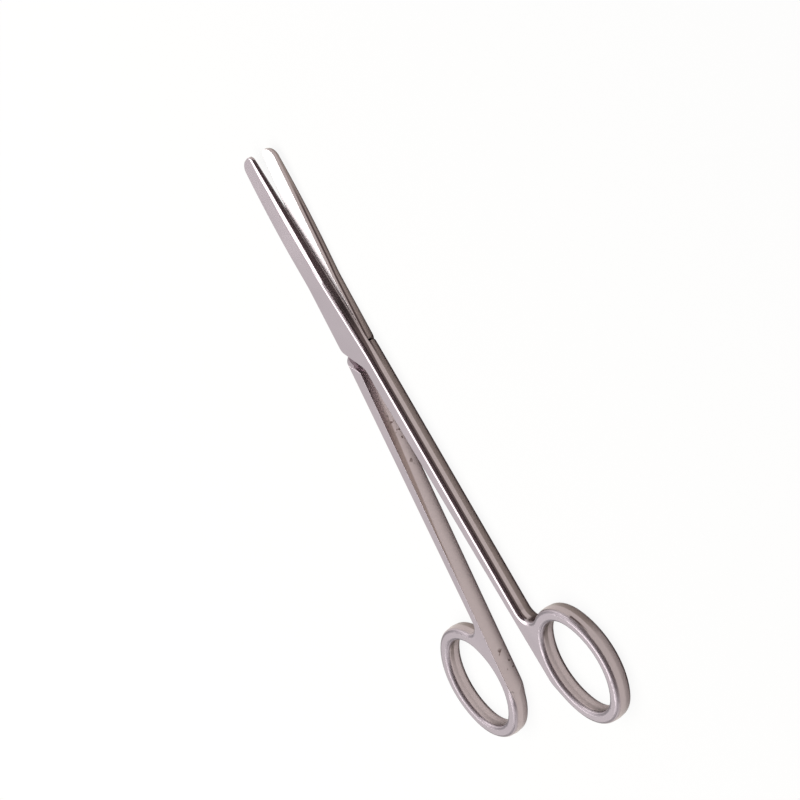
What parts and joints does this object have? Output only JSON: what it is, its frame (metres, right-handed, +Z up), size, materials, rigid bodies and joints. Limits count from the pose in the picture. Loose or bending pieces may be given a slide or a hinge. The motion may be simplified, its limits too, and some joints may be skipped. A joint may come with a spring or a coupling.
{
  "type": "dissecting scissors",
  "caption": "Straight dissecting scissors: two forged steel halves with blunt tips and oval finger rings, crossed at a lap joint on a slotted screw.",
  "frame": {"origin": "on the pivot's axis, in the plane of the back half's outer face, on which the scissors lie", "axes": "+X along the tool, from the rings to the tips; +Z up, along the pivot, from the back half to the front half; +Y to the side of the back half's ring"},
  "size_m": [0.1774, 0.0808, 0.0053],
  "materials": {
    "satin_steel": "satin",
    "screw_steel": "turned"
  },
  "bodies": {
    "back": {"back_half": "satin_steel"},
    "front": {"front_half": "satin_steel", "pivot_screw": "screw_steel"}
  },
  "joints": [
    {"name": "pivot", "type": "hinge", "parent": "back", "child": "front", "pos_m": [0, 0, 0], "axis": [0, 0, 1], "range_deg": [-11.1, 55]}
  ]
}
